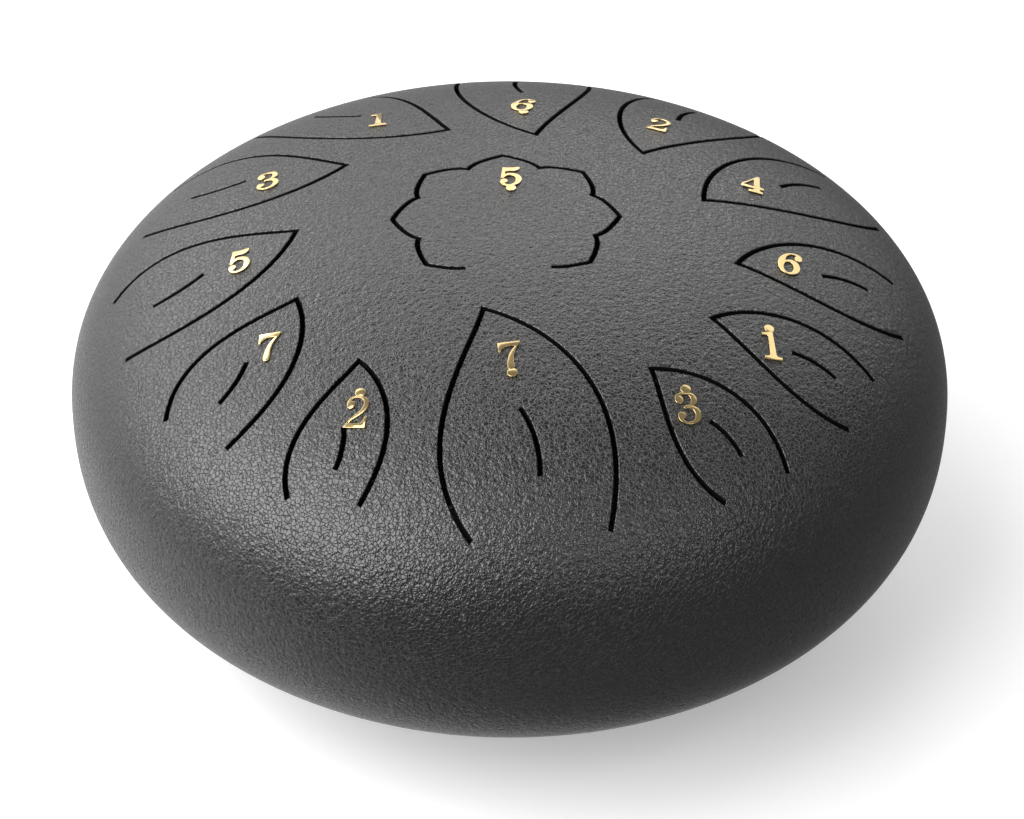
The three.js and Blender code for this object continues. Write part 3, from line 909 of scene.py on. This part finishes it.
def bolt_outline():
    dome = [
        (HEAD_RADIUS * math.sin(a), head_top - HEAD_HEIGHT * (0.35 + 0.65 * math.cos(a)))
        for a in (math.radians(9 * k) for k in range(11))]
    threads = []
    height = head_top + 2 * MM
    while height < bolt_top - THREAD_PITCH:
        threads += [(BOLT_RADIUS - THREAD_DEPTH, height), (BOLT_RADIUS, height + THREAD_PITCH / 2)]
        height += THREAD_PITCH
    return dome + [(HEAD_RADIUS, head_top), (BOLT_RADIUS, head_top)] + threads + [
        (BOLT_RADIUS - 2 * THREAD_DEPTH, bolt_top), (0, bolt_top)]


def bolt_solid():
    blank = turn_outline(bolt_outline(), ROUND_STEPS, closed=False)
    socket = pillar(0, 0, SOCKET_RADIUS, head_bottom - SHEET, head_bottom + SOCKET_DEPTH, 6)
    return carve(blank, socket)


def washer_solid():
    top = washer_bottom + WASHER_THICKNESS
    outline = [
        (BOLT_HOLE_RADIUS, top), (BOLT_HOLE_RADIUS, washer_bottom), (WASHER_RADIUS, washer_bottom),
        (WASHER_RADIUS, top)]
    return round_edges(turn_outline(outline, ROUND_STEPS, closed=True), 0.15 * MM)


def nut_solid():
    top = nut_bottom + NUT_HEIGHT
    flats = NUT_RADIUS * math.cos(math.pi / 6)
    block = pillar(0, 0, NUT_RADIUS, nut_bottom, top, 6)
    crown = turn_outline(
        [(0, nut_bottom), (flats, nut_bottom), (NUT_RADIUS + SHEET / 8, nut_bottom + SHEET / 4),
         (NUT_RADIUS + SHEET / 8, top - SHEET / 4), (flats, top), (0, top)],
        ROUND_STEPS, closed=False)
    block = carve(block, crown, "INTERSECT")
    return carve(block, pillar(0, 0, BOLT_HOLE_RADIUS, nut_bottom - SHEET, top + SHEET, 48))


for i in range(FEET):
    for part, solid in (("bolt", bolt_solid()), ("washer", washer_solid()), ("nut", nut_solid())):
        bmesh.ops.translate(solid, verts=solid.verts, vec=(*foot_place(i), 0))
        finish_piece(
            f"zinc_{part}_{i + 1}", solid, zinc, [f"foot_{part}_{i + 1}"])

# %% [markdown]
# ## Floor and light
# A plain pale floor runs out past the edge of the view. It is kept out of glossy reflections, as
# black cards round a real drum would, so the lower bowl stays dark. It glows a little, as a light
# table does, which pales the shadow. A small disc of painted shade, black and without the glow,
# lies under the drum, because a bright floor would show through the sound hole and the slits.

# %% Floor
FLOOR_SIDE = 6.0
FLOOR_GLOW = 0.3
# Radius of the black disc painted under the drum as shade.
SHADE_DISC_RADIUS = 0.05


def make_floor():
    bm = bmesh.new()
    bmesh.ops.create_grid(bm, x_segments=8, y_segments=8, size=FLOOR_SIDE / 2)
    mesh = bpy.data.meshes.new("floor")
    bm.to_mesh(mesh)
    bm.free()
    material, tree, shader = new_material("pale_floor", roughness=0.6)
    place = object_place(tree)
    tint = ramp(tree, noise(tree, place, scale=3.0), [(0.2, 0.86), (0.8, 0.9)])
    distance = node(tree, "ShaderNodeVectorMath", operation="LENGTH")
    tree.links.new(place, distance.inputs[0])
    # Inside that disc the floor is painted black and does not glow: painted shade under the drum.
    outside_shade_disc = arithmetic(tree, "GREATER_THAN", distance.outputs["Value"], SHADE_DISC_RADIUS)
    tree.links.new(arithmetic(tree, "MULTIPLY", tint, outside_shade_disc), shader.inputs["Base Color"])
    tree.links.new(outside_shade_disc, shader.inputs["Emission Color"])
    shader.inputs["Emission Strength"].default_value = FLOOR_GLOW
    mesh.materials.append(material)
    floor = bpy.data.objects.new("floor", mesh)
    bpy.context.collection.objects.link(floor)
    floor.visible_glossy = False


make_floor()

# %% [markdown]
# One large soft box at the left gives the broad sheen across the front left of the drum, with a
# smaller one above it. Weaker ones behind light the far tongues and are what the brass mirrors,
# and one at the front right opens that side. The world is a low even fill, brighter low down
# behind the left, where a white card would stand.

# %% Lights
# azimuth and elevation of each box as seen from the drum, its width and height, its brightness
SOFT_BOXES = {
    "main_box": (-150, 36, 1.85, 1.4, 3.9),
    "high_left_box": (-150, 70, 1.0, 0.6, 3.0),
    "left_back_box": (150, 32, 1.7, 1.2, 2.1),
    "back_box": (100, 31, 1.5, 1.65, 1.2),
    "right_back_box": (58, 28, 1.2, 1.5, 0.95),
    "front_right_box": (-52, 43, 0.9, 0.8, 1.7),
}
BOX_DISTANCE = 1.6


def add_soft_box(name, azimuth, elevation, width, height, brightness):
    """A soft box that faces the drum."""
    light = bpy.data.lights.new(name, "AREA")
    light.shape = "RECTANGLE"
    light.size, light.size_y = width, height
    light.energy = brightness * math.pi * width * height
    lamp = bpy.data.objects.new(name, light)
    a, e = math.radians(azimuth), math.radians(elevation)
    out = Vector((math.cos(a) * math.cos(e), math.sin(a) * math.cos(e), math.sin(e)))
    lamp.location = Vector((0, 0, WAIST_Z)) + out * BOX_DISTANCE
    lamp.rotation_euler = (-out).to_track_quat("-Z", "Y").to_euler()
    bpy.context.collection.objects.link(lamp)


for name, values in SOFT_BOXES.items():
    add_soft_box(name, *values)

# %% World
WORLD_LIGHT = 0.2
CARD_LIGHT = 0.8
CARD_AZIMUTH = 150
CARD_ELEVATION = -30


def make_world():
    """A low even fill, with a soft white card low behind the drum's left side."""
    world = bpy.data.worlds.new("studio")
    world.use_nodes = True
    tree = world.node_tree
    a, e = math.radians(CARD_AZIMUTH), math.radians(CARD_ELEVATION)
    facing = node(tree, "ShaderNodeVectorMath", operation="DOT_PRODUCT")
    tree.links.new(node(tree, "ShaderNodeTexCoord").outputs["Generated"], facing.inputs[0])
    facing.inputs[1].default_value = (
        math.cos(a) * math.cos(e), math.sin(a) * math.cos(e), math.sin(e))
    card = ramp(tree, facing.outputs["Value"], [(0.45, 0.0), (0.95, 1.0)])
    strength = arithmetic(tree, "MULTIPLY_ADD", card, CARD_LIGHT, WORLD_LIGHT)
    background = tree.nodes["Background"]
    background.inputs["Color"].default_value = (1, 1, 1, 1)
    tree.links.new(strength, background.inputs["Strength"])
    bpy.context.scene.world = world


make_world()
bpy.context.scene.view_settings.view_transform = "Standard"
print("lights:", list(SOFT_BOXES))
